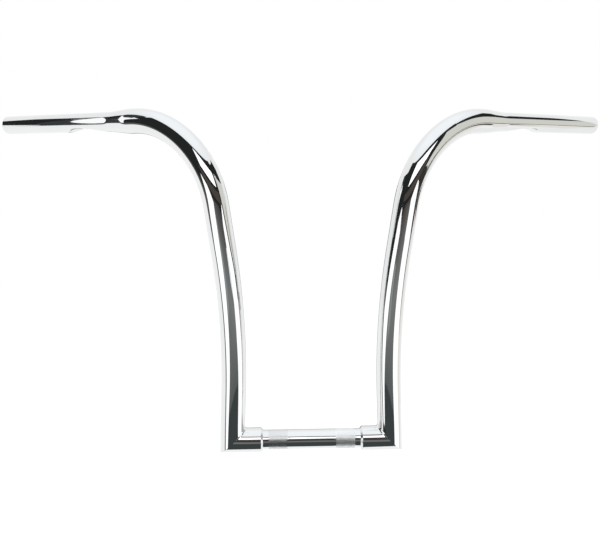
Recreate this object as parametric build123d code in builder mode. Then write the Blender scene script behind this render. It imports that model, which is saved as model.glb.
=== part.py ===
from build123d import *
import os
from math import atan, degrees, radians, sin, sqrt, tan

# Ape hanger handlebar, welded from bent tubes and chromed. Millimetres and degrees.
# The origin is the middle of the clamp bar. +X runs along the bar to the right as seen from
# the front, +Y runs back to the rider and +Z runs up the legs. The bar is symmetric about X = 0.

# Clamp bar
bar_diameter = 25.4
bar_wall = 3.05
shoulder_span = 132.0
spigot_length = 20.0
spigot_chamfer = 1.0

# Knurled bands where the riser clamps bite
clamp_spacing = 88.9
knurl_width = 25.4
knurl_raise = 0.2
knurl_chamfer = 0.15

# Large tube of the base stubs and legs, which the clamp bar slips into
bar_clearance = 0.125
tube_wall = 3.05
shoulder_round = 1.2
shoulder_weld_leg = 1.6
shoulder_weld_radius = 2.4

# Base corners
base_width = 241.3
weld_radius = 4.0
weld_toe = 0.06
weld_end_height = 5.0

# Legs, from the foot up
foot_toe_in = 2.4
foot_straight = 66.0
leg_bend_radius = 1035.0
leg_flare = 8.0
leg_straight = 57.0

# Top bend and grip
top_bend_radius = 120.0
grip_sweep = 32.0
neck_straight = 10.5
taper_length = 32.5
grip_length = 204.0
grip_diameter = 25.4
grip_wall = 3.05
tip_round = 1.0
tip_bore_round = 0.5

# Wire dimple in the underside of the grip, placed from the tip
dimple_start = 126.0
dimple_full_from = 145.0
dimple_full_to = 170.0
dimple_end = 200.0
dimple_depth = 6.0
dimple_hollow_radius = 40.0
dimple_blend_radius = 60.0

# How far a cutting shape runs past the face that it opens
overrun = 2.0

# Sizes that follow
bar_radius = bar_diameter / 2
tube_bore_radius = bar_radius + bar_clearance
tube_radius = tube_bore_radius + tube_wall
grip_radius = grip_diameter / 2
grip_bore_radius = grip_radius - grip_wall
shoulder_x = shoulder_span / 2

# Route of the right leg and grip
outward = Vector(1, 0, 0)
foot_direction = Vector(0, 0, 1).rotate(Axis.Y, -foot_toe_in)
leg_direction = Vector(0, 0, 1).rotate(Axis.Y, leg_flare)
grip_direction = outward.rotate(Axis.Z, grip_sweep)

leg_bend_angle = foot_direction.get_angle(leg_direction)
top_bend_angle = leg_direction.get_angle(grip_direction)
leg_tangent = leg_bend_radius * tan(radians(leg_bend_angle / 2))
top_tangent = top_bend_radius * tan(radians(top_bend_angle / 2))

corner = Vector(base_width / 2 - tube_radius, 0, 0)
leg_corner = corner + foot_direction * (foot_straight + leg_tangent)
top_corner = leg_corner + leg_direction * (leg_tangent + leg_straight + top_tangent)
taper_start = top_corner + grip_direction * (top_tangent + neck_straight)
grip_start = taper_start + grip_direction * taper_length
tip = grip_start + grip_direction * grip_length

# The mitre halves the corner. The leg is above the plane and the stub is below it.
mitre_plane = Plane(corner, x_dir=(0, 1, 0), z_dir=(foot_direction + outward).normalized())
foot_below = corner - foot_direction * (2 * tube_radius)

# The grip's own upright plane: local X runs from the tip back along the grip, local Y up
grip_plane = Plane(tip, x_dir=-grip_direction, z_dir=Vector(0, 0, 1).cross(grip_direction))


def leg_bar(large_radius, small_radius, past_tip):
    """Solid round bar along the leg, the top bend, the taper and the grip."""
    with BuildPart() as bar:
        with BuildLine():
            FilletPolyline(
                foot_below,
                leg_corner,
                top_corner,
                taper_start,
                radius=[leg_bend_radius, top_bend_radius],
            )
        with BuildSketch(Plane(foot_below, z_dir=foot_direction)):
            Circle(large_radius)
        sweep()
        with BuildSketch(grip_plane):
            with BuildLine():
                Polyline(
                    (-past_tip, 0),
                    (grip_length + taper_length, 0),
                    (grip_length + taper_length, large_radius),
                    (grip_length, small_radius),
                    (-past_tip, small_radius),
                    close=True,
                )
            make_face()
        revolve(axis=Axis(tip, grip_direction))
    return bar.part


def dimple_press(extra):
    """Wide, slightly rounded press that dents the grip, run along its stroke and made thicker on top."""
    floor = dimple_depth - grip_radius
    steep = dimple_full_from - dimple_start
    gentle = dimple_end - dimple_full_to
    half_width = grip_radius + overrun
    top_radius = dimple_hollow_radius + extra
    edge = extra - top_radius + sqrt(top_radius**2 - half_width**2)
    with BuildPart() as press:
        with BuildLine(grip_plane) as stroke:
            FilletPolyline(
                (dimple_start - steep, floor - 2 * dimple_depth),
                (dimple_full_from, floor),
                (dimple_full_to, floor),
                (dimple_end + gentle, floor - 2 * dimple_depth),
                radius=dimple_blend_radius,
            )
        with BuildSketch(Plane(stroke.line @ 0, x_dir=-grip_plane.z_dir, z_dir=stroke.line % 0)):
            with BuildLine():
                ThreePointArc((-half_width, edge), (0, extra), (half_width, edge))
                Polyline(
                    (half_width, edge),
                    (half_width, -grip_radius),
                    (-half_width, -grip_radius),
                    (-half_width, edge),
                )
            make_face()
        sweep()
    return press.part


# Clamp bar
with BuildPart() as clamp_bar:
    bar_half = shoulder_x + spigot_length
    with BuildSketch(Plane.YZ.offset(-bar_half)):
        Circle(bar_radius)
    extrude(amount=2 * bar_half)
    chamfer(clamp_bar.edges().filter_by(GeomType.CIRCLE), spigot_chamfer)
    for side in (-1, 1):
        with BuildSketch(Plane.YZ.offset(side * clamp_spacing / 2 - knurl_width / 2)):
            Circle(bar_radius + knurl_raise)
        extrude(amount=knurl_width)
    knurl_edges = clamp_bar.edges().filter_by(
        lambda edge: edge.geom_type == GeomType.CIRCLE and edge.radius > bar_radius + knurl_raise / 2
    )
    chamfer(knurl_edges, knurl_chamfer)
    with BuildSketch(Plane.YZ.offset(-bar_half)):
        Circle(bar_radius - bar_wall)
    extrude(amount=2 * bar_half, mode=Mode.SUBTRACT)
clamp_bar.part.label = "clamp_bar"

# Base stub
with BuildPart() as right_base_stub:
    with BuildSketch(Plane.YZ.offset(shoulder_x)):
        Circle(tube_radius)
    extrude(amount=corner.X - shoulder_x + 2 * tube_radius)
    shoulder = right_base_stub.faces().sort_by(Axis.X)[0]
    fillet(shoulder.edges(), shoulder_round)
    with BuildSketch(Plane.YZ.offset(shoulder_x)):
        Circle(tube_bore_radius)
    extrude(amount=corner.X - shoulder_x + 2 * tube_radius, mode=Mode.SUBTRACT)
    split(bisect_by=mitre_plane, keep=Keep.BOTTOM)
right_base_stub.part.label = "right_base_stub"

# Riser, with the wall pushed into the bore behind the dimple
with BuildPart() as bore_past_dimple:
    add(leg_bar(tube_bore_radius, grip_bore_radius, overrun))
    add(dimple_press(grip_wall), mode=Mode.SUBTRACT)

with BuildPart() as right_riser:
    add(leg_bar(tube_radius, grip_radius, 0))
    add(dimple_press(0), mode=Mode.SUBTRACT)
    add(bore_past_dimple.part, mode=Mode.SUBTRACT)
    split(bisect_by=mitre_plane, keep=Keep.TOP)
    tip_face = right_riser.faces().sort_by(Axis(tip, grip_direction))[-1]
    tip_bore_edges = tip_face.inner_wires()[0].edges()
    fillet(tip_face.outer_wire().edges(), tip_round)
    fillet(tip_bore_edges, tip_bore_round)
right_riser.part.label = "right_riser"

# Corner weld, ground to the surface of a ball rolled along the inside of the mitre
inside = (foot_direction - outward).normalized()
half_corner = inside.get_angle(foot_direction)
ball_offset = tube_radius + weld_radius
toe_angle = degrees(atan(tan(radians(half_corner)) * tube_radius / ball_offset))
toe_plane = Plane(corner, x_dir=(0, 1, 0), z_dir=Vector(0, 0, 1).rotate(Axis.Y, toe_angle))

with BuildPart() as ball_track:
    with BuildLine(Plane(corner, x_dir=inside, z_dir=mitre_plane.z_dir)) as track:
        EllipticalCenterArc(
            (0, 0),
            ball_offset / sin(radians(half_corner)),
            ball_offset,
            start_angle=-90,
            arc_size=180,
        )
    with BuildSketch(Plane(track.line @ 0, z_dir=track.line % 0)):
        Circle(weld_radius - weld_toe)
    sweep()

with BuildPart() as right_corner_weld:
    with BuildSketch(Plane(corner, x_dir=(0, -1, 0), z_dir=-outward)):
        Circle(tube_radius + weld_radius / 2)
        Circle(tube_radius, mode=Mode.SUBTRACT)
        with Locations((0, weld_end_height)):
            Rectangle(
                4 * tube_radius,
                4 * tube_radius,
                align=(Align.CENTER, Align.MIN),
                mode=Mode.INTERSECT,
            )
    extrude(amount=4 * tube_radius)
    split(bisect_by=mitre_plane, keep=Keep.BOTTOM)
    split(bisect_by=toe_plane, keep=Keep.TOP)
    add(ball_track.part, mode=Mode.SUBTRACT)
    mirror(about=mitre_plane)
right_corner_weld.part.label = "right_corner_weld"

# Shoulder weld, a ring in the step between the stub and the clamp bar
with BuildPart() as right_shoulder_weld:
    with BuildSketch(Plane.XY):
        with BuildLine():
            stub_toe = (shoulder_x, bar_radius + shoulder_weld_leg)
            bar_toe = (shoulder_x - shoulder_weld_leg, bar_radius)
            Polyline(stub_toe, (shoulder_x, bar_radius), bar_toe)
            RadiusArc(bar_toe, stub_toe, shoulder_weld_radius)
        make_face()
    revolve(axis=Axis.X)
right_shoulder_weld.part.label = "right_shoulder_weld"

right_pieces = [right_base_stub, right_riser, right_corner_weld, right_shoulder_weld]

# Write the clamp bar, then each right piece with its mirror image on the left
os.makedirs("parts", exist_ok=True)
export_step(clamp_bar.part, "parts/clamp_bar.step")
for right_piece in right_pieces:
    name = right_piece.part.label
    export_step(right_piece.part, f"parts/{name}.step")
    with BuildPart() as left_piece:
        mirror(right_piece.part, about=Plane.YZ)
    left_piece.part.label = name.replace("right", "left")
    export_step(left_piece.part, f"parts/{left_piece.part.label}.step")
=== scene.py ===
from math import acos, asin, cos, pi, radians, sin, sqrt, tan

import bmesh
import bpy
from mathutils import Matrix, Vector


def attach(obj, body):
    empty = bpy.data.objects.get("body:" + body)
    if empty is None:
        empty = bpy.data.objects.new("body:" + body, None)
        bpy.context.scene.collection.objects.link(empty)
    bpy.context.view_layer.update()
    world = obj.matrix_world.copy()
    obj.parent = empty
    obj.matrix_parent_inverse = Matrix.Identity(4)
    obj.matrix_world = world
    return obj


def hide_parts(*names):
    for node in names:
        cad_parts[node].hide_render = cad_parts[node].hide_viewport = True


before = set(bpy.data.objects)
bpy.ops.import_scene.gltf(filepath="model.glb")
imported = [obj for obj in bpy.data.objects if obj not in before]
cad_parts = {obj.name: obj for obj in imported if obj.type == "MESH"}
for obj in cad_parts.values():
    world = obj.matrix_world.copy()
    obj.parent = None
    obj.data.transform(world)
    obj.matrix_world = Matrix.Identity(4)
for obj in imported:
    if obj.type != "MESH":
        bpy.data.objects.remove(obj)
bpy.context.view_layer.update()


# Clamp bar. One-inch steel tube across the base, with a knurled band under each riser clamp.
# The knurl is rolled into the tube before plating, and its crests stand a little proud of it.
# The right band is given a rougher, satin finish and a paler colour than the left one. The paler colour
# is a painted brighter reflection that makes the band look paler.
mm = 0.001
bar_radius = 12.7 * mm
bar_bore_radius = 9.65 * mm
bar_half = 86 * mm
spigot_chamfer = 1 * mm
knurl_centre = 44.45 * mm
knurl_half_width = 12.7 * mm
knurl_crest = 12.9 * mm
knurl_depth = 0.22 * mm
knurl_run_out = 0.6 * mm
knurl_starts = 64
knurl_pitch = 2.16 * mm
knurl_samples = 4
bar_ring_step = 4 * mm
sharp_edge = radians(35)
hairbreadth = 0.001 * mm


def spread(start, end, step):
    """Evenly spaced values from start to end, about one step apart, with both ends."""
    count = max(1, round(abs(end - start) / step))
    return [start + (end - start) * index / count for index in range(count + 1)]


def straight_tube(name, outside, bore, segments):
    """Straight tube along +Z. The (along, radius) points run down the outside and back up the bore."""
    shape = bmesh.new()
    rings = []
    for along, radius in outside + bore:
        turns = [2 * pi * step / segments for step in range(segments)]
        rings.append([shape.verts.new((radius * cos(turn), radius * sin(turn), along)) for turn in turns])
    for index, ring in enumerate(rings):
        next_ring = rings[(index + 1) % len(rings)]
        for step in range(segments):
            after = (step + 1) % segments
            face = shape.faces.new((ring[step], ring[after], next_ring[after], next_ring[step]))
            face.material_index = int(index >= len(outside))
    mesh = bpy.data.meshes.new(name)
    shape.to_mesh(mesh)
    shape.free()
    return mesh


def record_tube_space(mesh):
    """Keeps where each point is on the straight tube, which is where its polish marks are."""
    places = mesh.attributes.new("tube_space", "FLOAT_VECTOR", "POINT")
    for place, vertex in zip(places.data, mesh.vertices):
        place.vector = vertex.co


def plated_piece(mesh, node, mirrored=False):
    """The finished piece that stands for a CAD node, mirrored to the left side if asked."""
    if mirrored:
        mesh.transform(Matrix.Scale(-1, 4, (1, 0, 0)))
    shape = bmesh.new()
    shape.from_mesh(mesh)
    bmesh.ops.recalc_face_normals(shape, faces=shape.faces)
    shape.to_mesh(mesh)
    shape.free()
    mesh.polygons.foreach_set("use_smooth", [True] * len(mesh.polygons))
    mesh.set_sharp_from_angle(angle=sharp_edge)
    piece = bpy.data.objects.new(mesh.name, mesh)
    bpy.context.scene.collection.objects.link(piece)
    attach(piece, "root")
    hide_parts(node)
    return piece


# Polish marks of a plated tube. It is buffed along its length and then plated, which leaves faint
# streaks, patches of haze and a shallow ripple, all laid out as the tube was before it was bent.
faint_streak = 0.3
strong_streak = 0.75
polish = bpy.data.node_groups.new("tube_polish", "ShaderNodeTree")
polish.interface.new_socket("Tube space", in_out="INPUT", socket_type="NodeSocketVector")
polish.interface.new_socket("Streaks", in_out="OUTPUT", socket_type="NodeSocketFloat")
polish.interface.new_socket("Haze", in_out="OUTPUT", socket_type="NodeSocketFloat")
polish.interface.new_socket("Ripple", in_out="OUTPUT", socket_type="NodeSocketFloat")
polish_in = polish.nodes.new("NodeGroupInput")
polish_out = polish.nodes.new("NodeGroupOutput")
for effect, stretch, scale, detail in (
    ("Streaks", (1, 1, 0.015), 1800, 3),
    ("Haze", (1, 1, 0.6), 32, 4),
    ("Ripple", (1, 1, 0.3), 60, 1),
):
    stretched = polish.nodes.new("ShaderNodeVectorMath")
    stretched.operation = "MULTIPLY"
    stretched.inputs[1].default_value = stretch
    noise = polish.nodes.new("ShaderNodeTexNoise")
    noise.inputs["Scale"].default_value = scale
    noise.inputs["Detail"].default_value = detail
    polish.links.new(polish_in.outputs["Tube space"], stretched.inputs[0])
    polish.links.new(stretched.outputs["Vector"], noise.inputs["Vector"])
    polish.links.new(noise.outputs["Fac"], polish_out.inputs[effect])


def tube_finish(name, clean, hazy, smooth, dull, ripple):
    """Metal finish that runs from clean to hazy and from smooth to dull, with a ripple of that height."""
    material = bpy.data.materials.new(name)
    material.use_nodes = True
    nodes = material.node_tree.nodes
    links = material.node_tree.links
    metal = nodes["Principled BSDF"]
    metal.inputs["Metallic"].default_value = 1
    place = nodes.new("ShaderNodeAttribute")
    place.attribute_name = "tube_space"
    marks = nodes.new("ShaderNodeGroup")
    marks.node_tree = polish
    links.new(place.outputs["Vector"], marks.inputs["Tube space"])
    colour = nodes.new("ShaderNodeMix")
    colour.data_type = "RGBA"
    colour.inputs["A"].default_value = (*clean, 1)
    colour.inputs["B"].default_value = (*hazy, 1)
    links.new(marks.outputs["Haze"], colour.inputs["Factor"])
    links.new(colour.outputs["Result"], metal.inputs["Base Color"])
    roughness = nodes.new("ShaderNodeMapRange")
    roughness.inputs["From Min"].default_value = faint_streak
    roughness.inputs["From Max"].default_value = strong_streak
    roughness.inputs["To Min"].default_value = smooth
    roughness.inputs["To Max"].default_value = dull
    links.new(marks.outputs["Streaks"], roughness.inputs["Value"])
    links.new(roughness.outputs["Result"], metal.inputs["Roughness"])
    surface = nodes.new("ShaderNodeBump")
    surface.inputs["Strength"].default_value = 1
    surface.inputs["Distance"].default_value = ripple
    links.new(marks.outputs["Ripple"], surface.inputs["Height"])
    links.new(surface.outputs["Normal"], metal.inputs["Normal"])
    return material


chrome = tube_finish("polished_chrome", (0.82, 0.83, 0.835), (0.76, 0.77, 0.775), 0.02, 0.06, 0.03 * mm)
bare_bore = tube_finish("bare_bore_steel", (0.36, 0.35, 0.34), (0.22, 0.2, 0.18), 0.38, 0.62, 0.2 * mm)
knurled = tube_finish("knurled_chrome", (0.8, 0.81, 0.815), (0.66, 0.67, 0.675), 0.06, 0.14, 0.02 * mm)
# Rougher copy of the knurled chrome in a paler colour. The paler colour is a painted brighter reflection
# on the right band.
satin_knurl_painted_pale = tube_finish(
    "satin_knurl_painted_pale_chrome", (0.9, 0.91, 0.915), (0.84, 0.85, 0.855), 0.3, 0.42, 0.02 * mm
)
bar_finishes = (chrome, bare_bore, knurled, satin_knurl_painted_pale)

band_edges = (knurl_centre - knurl_half_width, knurl_centre + knurl_half_width)
bar_alongs = []
for start, end, step in (
    (-bar_half + spigot_chamfer, -band_edges[1], bar_ring_step),
    (-band_edges[1], -band_edges[0], knurl_pitch / knurl_samples),
    (-band_edges[0], band_edges[0], bar_ring_step),
    (band_edges[0], band_edges[1], knurl_pitch / knurl_samples),
    (band_edges[1], bar_half - spigot_chamfer, bar_ring_step),
):
    bar_alongs += spread(start, end, step)[:-1]
bar_alongs.append(bar_half - spigot_chamfer)
bar_outside = [(-bar_half, bar_radius - spigot_chamfer)]
bar_outside += [(along, bar_radius) for along in bar_alongs]
bar_outside.append((bar_half, bar_radius - spigot_chamfer))
bar_bore = [(bar_half, bar_bore_radius), (-bar_half, bar_bore_radius)]
bar_segments = knurl_starts * knurl_samples
bar_mesh = straight_tube("clamp_bar_tube", bar_outside, bar_bore, bar_segments)
record_tube_space(bar_mesh)


def knurl_height(turn, along):
    """Height of the diamond knurl, from 0 in the grooves to 1 on the crests."""
    around = knurl_starts * turn / (2 * pi)
    across = along / knurl_pitch
    first = 0.5 - 0.5 * cos(2 * pi * (around + across))
    second = 0.5 - 0.5 * cos(2 * pi * (around - across))
    return min(first, second)


for index, vertex in enumerate(bar_mesh.vertices):
    inside_band = knurl_half_width - abs(abs(vertex.co.z) - knurl_centre)
    if inside_band > hairbreadth and vertex.co.xy.length > bar_radius - knurl_depth:
        turn = 2 * pi * (index % bar_segments) / bar_segments
        run_in = min(1, inside_band / knurl_run_out)
        crest = bar_radius + (knurl_crest - bar_radius) * run_in
        radius = crest - knurl_depth * run_in * (1 - knurl_height(turn, vertex.co.z))
        vertex.co.xy = vertex.co.xy.normalized() * radius
# The right band gets the satin finish with its painted paler reflection, and the left band keeps the
# plain knurl.
for face in bar_mesh.polygons:
    if abs(abs(face.center.z) - knurl_centre) < knurl_half_width and face.material_index == 0:
        band_finish = satin_knurl_painted_pale if face.center.z > 0 else knurled
        face.material_index = bar_finishes.index(band_finish)

# Local +Z of a straight tube turned to run along +X, with its local +Y up
along_bar = Matrix(((0, 0, 1, 0), (1, 0, 0, 0), (0, 1, 0, 0), (0, 0, 0, 1)))
bar_mesh.transform(along_bar)
for finish in bar_finishes:
    bar_mesh.materials.append(finish)
plated_piece(bar_mesh, "clamp_bar")


# Base stubs. Short lengths of the large tube, slipped over the ends of the clamp bar.
# Each is square and rounded off at the shoulder, and mitred where the riser meets it.
tube_radius = 15.875 * mm
tube_bore_radius = 12.825 * mm
shoulder_x = 66 * mm
shoulder_round = 1.2 * mm
corner = Vector((104.775 * mm, 0, 0))
foot_toe_in = radians(2.4)
mitre_slope = tan(pi / 4 + foot_toe_in / 2)
stub_mitre_clear = 20 * mm
stub_ring_step = 3 * mm
tube_segments = 128
rounding_step = radians(12)


def quarter_round(along, radius, size, start, end):
    """Points of a rounded edge about a centre, with its angles from the +along direction."""
    turns = spread(start, end, rounding_step)
    return [(along + size * cos(turn), radius + size * sin(turn)) for turn in turns]


shoulder_along = shoulder_x - corner.x
stub_outside = quarter_round(
    shoulder_along + shoulder_round, tube_radius - shoulder_round, shoulder_round, pi, pi / 2
)
stub_alongs = spread(shoulder_along + stub_ring_step, -stub_mitre_clear, stub_ring_step)
stub_outside += [(along, tube_radius) for along in stub_alongs]
stub_outside.append((0, tube_radius))
stub_bore = [(along, tube_bore_radius) for along in (0, -stub_mitre_clear, shoulder_along)]

for side in ("right", "left"):
    stub_mesh = straight_tube(f"{side}_stub_tube", stub_outside, stub_bore, tube_segments)
    record_tube_space(stub_mesh)
    for vertex in stub_mesh.vertices:
        if vertex.co.z > -hairbreadth:
            vertex.co.z = -vertex.co.y * mitre_slope
    stub_mesh.transform(Matrix.Translation(corner) @ along_bar)
    for finish in (chrome, bare_bore):
        stub_mesh.materials.append(finish)
    plated_piece(stub_mesh, f"{side}_base_stub", mirrored=side == "left")


# Shoulder welds. A small round bead of weld metal in the step between stub and clamp bar,
# dressed smooth and plated over with the rest.
shoulder_weld_leg = 1.6 * mm
shoulder_weld_radius = 2.4 * mm
bead_half_turn = asin(shoulder_weld_leg / sqrt(2) / shoulder_weld_radius)
bead_sink = shoulder_weld_radius * cos(bead_half_turn) / sqrt(2) - shoulder_weld_leg / 2
bead_outside = quarter_round(
    shoulder_along + bead_sink,
    bar_radius - bead_sink,
    shoulder_weld_radius,
    0.75 * pi + bead_half_turn,
    0.75 * pi - bead_half_turn,
)
bead_back = [(shoulder_along, bar_radius)]

for side in ("right", "left"):
    bead_mesh = straight_tube(f"{side}_shoulder_bead", bead_outside, bead_back, tube_segments)
    record_tube_space(bead_mesh)
    bead_mesh.transform(Matrix.Translation(corner) @ along_bar)
    for finish in (chrome, bare_bore):
        bead_mesh.materials.append(finish)
    plated_piece(bead_mesh, f"{side}_shoulder_weld", mirrored=side == "left")


# Risers. Large tube, swaged down to one inch for the grip, dented underneath for the wires,
# bent gently up the leg and tightly at the top, and mitred at the foot. The tip is open.
foot_straight = 66 * mm
leg_flare = radians(8)
leg_bend_radius = 1035 * mm
leg_straight = 57 * mm
grip_sweep = radians(32)
top_bend_radius = 120 * mm
neck_straight = 10.5 * mm
taper_length = 32.5 * mm
taper_blend = 4 * mm
grip_length = 204 * mm
grip_radius = 12.7 * mm
grip_wall = 3.05 * mm
tip_round = 1 * mm
tip_bore_round = 0.5 * mm
foot_mitre_clear = 22 * mm

leg_bend = leg_bend_radius * (foot_toe_in + leg_flare)
top_turn = acos(sin(leg_flare) * cos(grip_sweep))
top_bend = top_bend_radius * top_turn
top_towards = Vector((cos(grip_sweep) * cos(leg_flare), sin(grip_sweep), 0)).normalized()
taper_start = foot_straight + leg_bend + leg_straight + top_bend + neck_straight
grip_start = taper_start + taper_length
tip_along = grip_start + grip_length


def bent_to(along):
    """Turn and place of the bent tube's centre line at a length along it, from the corner."""
    place = Matrix.Translation(corner) @ Matrix.Rotation(-foot_toe_in, 4, "Y")
    for run, bend_radius, towards in (
        (foot_straight, None, None),
        (leg_bend, leg_bend_radius, Vector((1, 0, 0))),
        (leg_straight, None, None),
        (top_bend, top_bend_radius, top_towards),
        (tip_along, None, None),
    ):
        step = min(along, run)
        along -= step
        if bend_radius is None:
            place = place @ Matrix.Translation((0, 0, step))
            continue
        turn = step / bend_radius
        shift = towards * bend_radius * (1 - cos(turn))
        shift.z = bend_radius * sin(turn)
        place = place @ Matrix.Translation(shift)
        place = place @ Matrix.Rotation(turn, 4, Vector((0, 0, 1)).cross(towards))
    return place


def swaged_radius(along, large, small):
    """Radius of the tube where it is drawn down for the grip, with softened ends to the cone."""
    total = 0
    offsets = spread(-taper_blend, taper_blend, taper_blend / 3)
    for offset in offsets:
        share = (along + offset - taper_start) / taper_length
        total += large + (small - large) * min(1, max(0, share))
    return total / len(offsets)


# Wire dimple, measured back from the tip
dimple_start = 126 * mm
dimple_full_from = 139 * mm
dimple_full_to = 166 * mm
dimple_end = 196 * mm
dimple_depth = 6 * mm
dimple_blend = 5 * mm
dimple_hollow_radius = 40 * mm
dimple_soft_edge = 1.2 * mm
# Up and sideways at the grip, as directions of the tube before it was bent
up = bent_to(tip_along).to_3x3().transposed() @ Vector((0, 0, 1))
sideways = Vector((-up.y, up.x, 0))


def dimple_reach(back):
    """How far the press reaches into the grip, that far back from the tip. Below 0 it is clear."""
    total = 0
    offsets = spread(-dimple_blend, dimple_blend, dimple_blend / 4)
    for offset in offsets:
        steep = (back + offset - dimple_start) / (dimple_full_from - dimple_start)
        gentle = (dimple_end - back - offset) / (dimple_end - dimple_full_to)
        total += dimple_depth * min(1, steep, gentle)
    return total / len(offsets)


def dented(place, wall):
    """A point of the grip after the press has dented the underside, through that thickness of wall."""
    height = place.dot(up)
    reach = dimple_reach(tip_along - place.z)
    if height > 0 or reach < -dimple_soft_edge:
        return place
    hollow_radius = dimple_hollow_radius + wall
    hollow_drop = hollow_radius - sqrt(hollow_radius**2 - place.dot(sideways) ** 2)
    press = reach - grip_radius + wall - hollow_drop
    mix = min(1, max(0, 0.5 + 0.5 * (height - press) / dimple_soft_edge))
    pressed = press + (height - press) * mix + dimple_soft_edge * mix * (1 - mix)
    return place + (pressed - height) * up


# Rings along the straight tube, closer together where it is bent, swaged or dented
outside_alongs = [0]
bore_alongs = []
for start, end, step in (
    (foot_mitre_clear, foot_straight, 6 * mm),
    (foot_straight, foot_straight + leg_bend, 5 * mm),
    (foot_straight + leg_bend, foot_straight + leg_bend + leg_straight, 6 * mm),
    (taper_start - neck_straight - top_bend, taper_start - neck_straight, 2.5 * mm),
    (taper_start - neck_straight, taper_start - taper_blend, 3 * mm),
    (taper_start - taper_blend, grip_start + taper_blend, 1.5 * mm),
    (grip_start + taper_blend, tip_along - dimple_start, 1.5 * mm),
    (tip_along - dimple_start, tip_along - 2 * tip_round, 5 * mm),
):
    outside_alongs += spread(start, end, step)[:-1]
    bore_alongs += spread(start, end, 2 * step)[:-1]
outside_alongs.append(tip_along - 2 * tip_round)

grip_bore_radius = grip_radius - grip_wall
riser_outside = [(along, swaged_radius(along, tube_radius, grip_radius)) for along in outside_alongs]
riser_outside += quarter_round(tip_along - tip_round, grip_radius - tip_round, tip_round, pi / 2, 0)
riser_outside += quarter_round(
    tip_along - tip_bore_round, grip_bore_radius + tip_bore_round, tip_bore_round, 0, -pi / 2
)
riser_bore = [
    (along, swaged_radius(along, tube_bore_radius, grip_bore_radius)) for along in reversed(bore_alongs)
]
riser_bore.append((0, tube_bore_radius))

for side in ("right", "left"):
    riser_mesh = straight_tube(f"{side}_riser_tube", riser_outside, riser_bore, tube_segments)
    record_tube_space(riser_mesh)
    bore_from = len(riser_outside) * tube_segments
    for index, vertex in enumerate(riser_mesh.vertices):
        place = vertex.co.copy()
        if place.z < hairbreadth:
            place.z = -place.x * mitre_slope
        if index < bore_from:
            place = dented(place, 0)
        else:
            place = dented(place, grip_wall)
        vertex.co = bent_to(place.z) @ Vector((place.x, place.y, 0))
    for finish in (chrome, bare_bore):
        riser_mesh.materials.append(finish)
    plated_piece(riser_mesh, f"{side}_riser", mirrored=side == "left")


# Corner welds. Weld metal in the inside of each mitred corner, ground to a small smooth hollow
# and polished with the tubes. The surface is that of a ball rolled along the corner.
weld_radius = 4 * mm
weld_lift = 0.06 * mm
weld_end_height = 5 * mm
foot_direction = Vector((-sin(foot_toe_in), 0, cos(foot_toe_in)))
outward = Vector((1, 0, 0))
inside = (foot_direction - outward).normalized()
half_corner = inside.angle(foot_direction)
ball_offset = tube_radius + weld_radius
weld_reach = acos(weld_end_height / tube_radius)
weld_steps = 48
hollow_steps = 10


def weld_section(turn):
    """Points round one section of the weld: the hollow from the stub to the riser, then the root."""
    across = Vector((0, 1, 0)) * sin(turn)
    into_corner = inside * cos(turn) / sin(half_corner)
    ball = corner + (into_corner + across) * ball_offset
    root = corner + (into_corner + across) * (tube_radius - weld_lift)
    toes = []
    for axis in (outward, foot_direction):
        on_axis = corner + axis * (ball - corner).dot(axis)
        toes.append((on_axis - ball).normalized())
    hollow = []
    for step in range(hollow_steps + 1):
        towards = toes[0].slerp(toes[1], step / hollow_steps)
        hollow.append(ball + towards * (weld_radius - weld_lift))
    return hollow + [root]


for side in ("right", "left"):
    weld_shape = bmesh.new()
    sections = []
    for step in range(weld_steps + 1):
        turn = weld_reach * (2 * step / weld_steps - 1)
        sections.append([weld_shape.verts.new(point) for point in weld_section(turn)])
    for section, next_section in zip(sections, sections[1:]):
        for index in range(len(section)):
            after = (index + 1) % len(section)
            around = (section[index], section[after], next_section[after], next_section[index])
            weld_shape.faces.new(around)
    weld_shape.faces.new(sections[0])
    weld_shape.faces.new(sections[-1])
    weld_mesh = bpy.data.meshes.new(f"{side}_corner_fillet")
    weld_shape.to_mesh(weld_mesh)
    weld_shape.free()
    record_tube_space(weld_mesh)
    weld_mesh.materials.append(chrome)
    plated_piece(weld_mesh, f"{side}_corner_weld", mirrored=side == "left")


# Studio. The bar hangs in a white tent with a brighter roof. It is open at the front, where the
# chrome shows a dark room with a lamp, a table, a pale wall and two low white boards, and it opens
# a little behind the bar, on a dim part of the room.
stage_centre = Vector((0, 0, 0.2))
card_step = 5

card_glow = bpy.data.materials.new("studio_card")
card_glow.use_nodes = True
glow_nodes = card_glow.node_tree.nodes
glow_links = card_glow.node_tree.links
glow_nodes.remove(glow_nodes["Principled BSDF"])
glow = glow_nodes.new("ShaderNodeEmission")
glow_colour = glow_nodes.new("ShaderNodeAttribute")
glow_colour.attribute_name = "glow"
glow_links.new(glow_colour.outputs["Color"], glow.inputs["Color"])
glow_links.new(glow.outputs["Emission"], glow_nodes["Material Output"].inputs["Surface"])


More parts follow.
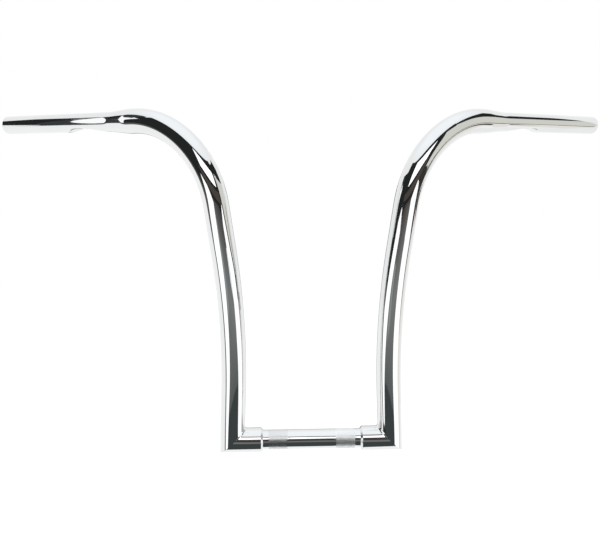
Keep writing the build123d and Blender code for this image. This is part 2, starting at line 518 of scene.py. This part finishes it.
def studio_card(name, distance, colour, corners, top_colour=None):
    """Curved card at that distance round the stage, seen only in the metal. Its corners go round it
    anticlockwise, each as azimuth and elevation: azimuth 0 is the front and +90 is +X."""
    card = bmesh.new()
    tint = card.verts.layers.float_color.new("glow")
    card.faces.new([card.verts.new((*point, 0)) for point in corners])
    for across in (Vector((1, 0, 0)), Vector((0, 1, 0))):
        for angle in range(-180, 360, card_step):
            parts = card.verts[:] + card.edges[:] + card.faces[:]
            bmesh.ops.bisect_plane(card, geom=parts, plane_co=across * angle, plane_no=across)
    low = min(elevation for azimuth, elevation in corners)
    high = max(elevation for azimuth, elevation in corners)
    for vert in card.verts:
        rise = (vert.co.y - low) / (high - low)
        vert[tint] = (*Vector(colour).lerp(Vector(top_colour or colour), rise), 1)
        azimuth = radians(vert.co.x)
        elevation = radians(vert.co.y)
        level = Vector((sin(azimuth), -cos(azimuth), 0)) * cos(elevation)
        vert.co = stage_centre + (level + Vector((0, 0, sin(elevation)))) * distance
    mesh = bpy.data.meshes.new(name)
    card.to_mesh(mesh)
    card.free()
    mesh.materials.append(card_glow)
    stand = bpy.data.objects.new(name, mesh)
    bpy.context.scene.collection.objects.link(stand)
    stand.visible_camera = False
    stand.visible_diffuse = False
    stand.visible_shadow = False


room_dark = (0.02, 0.022, 0.022)
table_dark = (0.055, 0.07, 0.068)
table_grey = (0.22, 0.225, 0.22)
table_brown = (0.065, 0.056, 0.052)
seam_grey = (0.32, 0.31, 0.29)
seam_dark = (0.06, 0.062, 0.06)
back_grey = (0.55, 0.55, 0.56)
back_dark = (0.05, 0.052, 0.055)
lamp_white = (1.6, 1.6, 1.6)
board_white = (1.35, 1.35, 1.35)
door_white = (1.2, 1.2, 1.2)
tent_low = (0.99, 1, 1.01)
tent_high = (1.1, 1.13, 1.15)
studio_card("tent_slope", 4.2, tent_low, ((-180, 42), (180, 42), (180, 68), (-180, 68)), tent_high)
studio_card("tent_roof", 4.2, tent_high, ((-180, 68), (180, 68), (180, 89), (-180, 89)))
studio_card("dark_room", 4, room_dark, ((-74, -28), (64, -28), (64, 49), (-74, 49)))
studio_card("dark_room_left", 1.92, room_dark, ((-84, -8), (-65, -19), (-39, 51), (-104, 34)))
studio_card("dark_room_right", 3.95, room_dark, ((73, 30), (118, 15), (107, 44), (47, 46)))
studio_card("dark_floor", 2.1, (0.05, 0.062, 0.06), ((-32, -78), (32, -78), (40, -23), (-45, -23)))
studio_card("table_near", 3.9, table_dark, ((-50, -27), (55, -27), (55, -11), (-50, -11)), table_grey)
studio_card("table_far", 3.9, table_grey, ((-50, -11), (55, -11), (55, 2), (-50, 2)), table_brown)
studio_card("room_back", 3.9, (0.08, 0.065, 0.057), ((-39, 7), (53, 5), (46, 17), (-38, 14)))
# Dim grey card beside the left board, seen only in the metal. It is painted shade at the board's side.
studio_card("board_side_painted_shade", 3.895, (0.3, 0.33, 0.335), ((-27, -15), (-14, -13), (-13, -5), (-24, -4)))
studio_card("wall_glow", 3.895, (0.9, 0.95, 0.95), ((25, -7), (37, -9), (37, -1), (27, -2)))
studio_card("pale_wall", 3.89, (0.76, 0.755, 0.69), ((60, -4), (112, -6), (108, 22), (53, 36)))
studio_card("cream_skirt", 3.88, (0.93, 0.91, 0.85), ((60, -24), (108, -24), (112, -9), (60, -7)))
studio_card("wall_line", 3.87, (0.05, 0.045, 0.035), ((68, -6), (112, -10), (112, -6), (68, -5)))
studio_card("lamp_box", 3.8, lamp_white, ((-25, 20), (38, 21), (42, 36), (-16, 43)))
studio_card("tent_seam", 1.91, seam_grey, ((-74, -30), (-60, -30), (-51, -7), (-91, -2)), seam_dark)
studio_card("white_gap", 1.4, door_white, ((-84, 10), (-77, 24), (-81, 29), (-94, 32)))
studio_card("wall_foot", 1.18, (0.04, 0.04, 0.035), ((51, 7), (79, -8), (90, -4), (52, 13)))
# Thin dark card at the right board's edge. It is a painted shadow line between the board and the cream
# region behind it.
studio_card("board_edge_painted_shadow", 1.17, (0.06, 0.055, 0.05), ((85, -17), (87, -17), (94, -2), (79, -2)))
left_board = ((-63, -34), (-50, -34), (-21, 3), (-38, 9), (-54, 8), (-75, -10))
studio_card("left_board", 1.09, board_white, left_board)
right_board = ((51, -38), (95, -42), (73, -1), (47, 11), (31, 5), (35, -18))
studio_card("right_board", 0.98, board_white, right_board)
studio_card("dark_flap", 0.79, (0.045, 0.05, 0.055), ((-96, 8), (-85, 11), (-83, 46), (-97, 41)))
studio_card("door_gap", 0.78, door_white, ((-89, 9), (-85, 8), (-84, 29), (-97, 37)))
studio_card("back_room", 3.6, back_grey, ((160, -25), (200, -25), (200, 7), (160, 7)), back_dark)
studio_card("tent_flap", 0.59, (1, 1, 1), ((103, -29), (132, -30), (142, 56), (111, 47)))

floor_height = -2
floor_half = 12
floor_white = 0.93
floor_glow = 0.12
floor_shape = bmesh.new()
bmesh.ops.create_grid(floor_shape, x_segments=1, y_segments=1, size=floor_half)
floor_mesh = bpy.data.meshes.new("studio_floor")
floor_shape.to_mesh(floor_mesh)
floor_shape.free()
floor_paint = bpy.data.materials.new("white_floor")
floor_paint.use_nodes = True
floor_nodes = floor_paint.node_tree.nodes
floor_links = floor_paint.node_tree.links
floor_surface = floor_nodes["Principled BSDF"]
floor_surface.inputs["Base Color"].default_value = (floor_white, floor_white, floor_white, 1)
floor_surface.inputs["Roughness"].default_value = 0.9
floor_surface.inputs["Specular IOR Level"].default_value = 0
floor_ray = floor_nodes.new("ShaderNodeLightPath")
seen_ray = floor_nodes.new("ShaderNodeMath")
seen_ray.operation = "MAXIMUM"
clear_ray = floor_nodes.new("ShaderNodeMath")
clear_ray.operation = "MAXIMUM"
floor_links.new(floor_ray.outputs["Is Glossy Ray"], clear_ray.inputs[0])
floor_links.new(floor_ray.outputs["Is Transmission Ray"], clear_ray.inputs[1])
floor_links.new(floor_ray.outputs["Is Camera Ray"], seen_ray.inputs[0])
floor_links.new(clear_ray.outputs["Value"], seen_ray.inputs[1])
floor_lift = floor_nodes.new("ShaderNodeMath")
floor_lift.operation = "MULTIPLY"
floor_lift.inputs[1].default_value = floor_glow
floor_links.new(seen_ray.outputs["Value"], floor_lift.inputs[0])
floor_surface.inputs["Emission Color"].default_value = (1, 1, 1, 1)
floor_links.new(floor_lift.outputs["Value"], floor_surface.inputs["Emission Strength"])
floor_mesh.materials.append(floor_paint)
floor = bpy.data.objects.new("studio_floor", floor_mesh)
floor.location.z = floor_height
bpy.context.scene.collection.objects.link(floor)

overhead = bpy.data.lights.new("overhead_softbox", "AREA")
overhead.energy = 9
overhead.size = 2
overhead_lamp = bpy.data.objects.new("overhead_softbox", overhead)
overhead_lamp.location = (0.3, -0.3, 2.3)
overhead_lamp.visible_glossy = False
bpy.context.scene.collection.objects.link(overhead_lamp)

white_room = bpy.data.worlds.new("white_room")
white_room.use_nodes = True
white_room.node_tree.nodes["Background"].inputs["Color"].default_value = (1, 1, 1, 1)
white_room.node_tree.nodes["Background"].inputs["Strength"].default_value = 1
bpy.context.scene.world = white_room
bpy.context.scene.view_settings.view_transform = "Standard"


# Camera. A little above the bar and close to square on, as the picture was taken.
# It stands about 0.9 m off, with a lens of normal length.
camera_target = Vector((-14.9, 0, 214.49)) * mm
camera_distance = 893.17 * mm
camera_yaw = radians(2.27)
camera_pitch = radians(10)
camera_roll = radians(0.1)
lens = bpy.data.cameras.new("front_camera")
lens.lens = 42
lens.sensor_width = 36
camera = bpy.data.objects.new("front_camera", lens)
aim = Matrix.Rotation(-camera_yaw, 4, "Z") @ Matrix.Rotation(pi / 2 - camera_pitch, 4, "X")
aim = aim @ Matrix.Rotation(-camera_roll, 4, "Z")
step_back = Matrix.Translation((0, 0, camera_distance))
camera.matrix_world = Matrix.Translation(camera_target) @ aim @ step_back
bpy.context.scene.collection.objects.link(camera)
bpy.context.scene.camera = camera
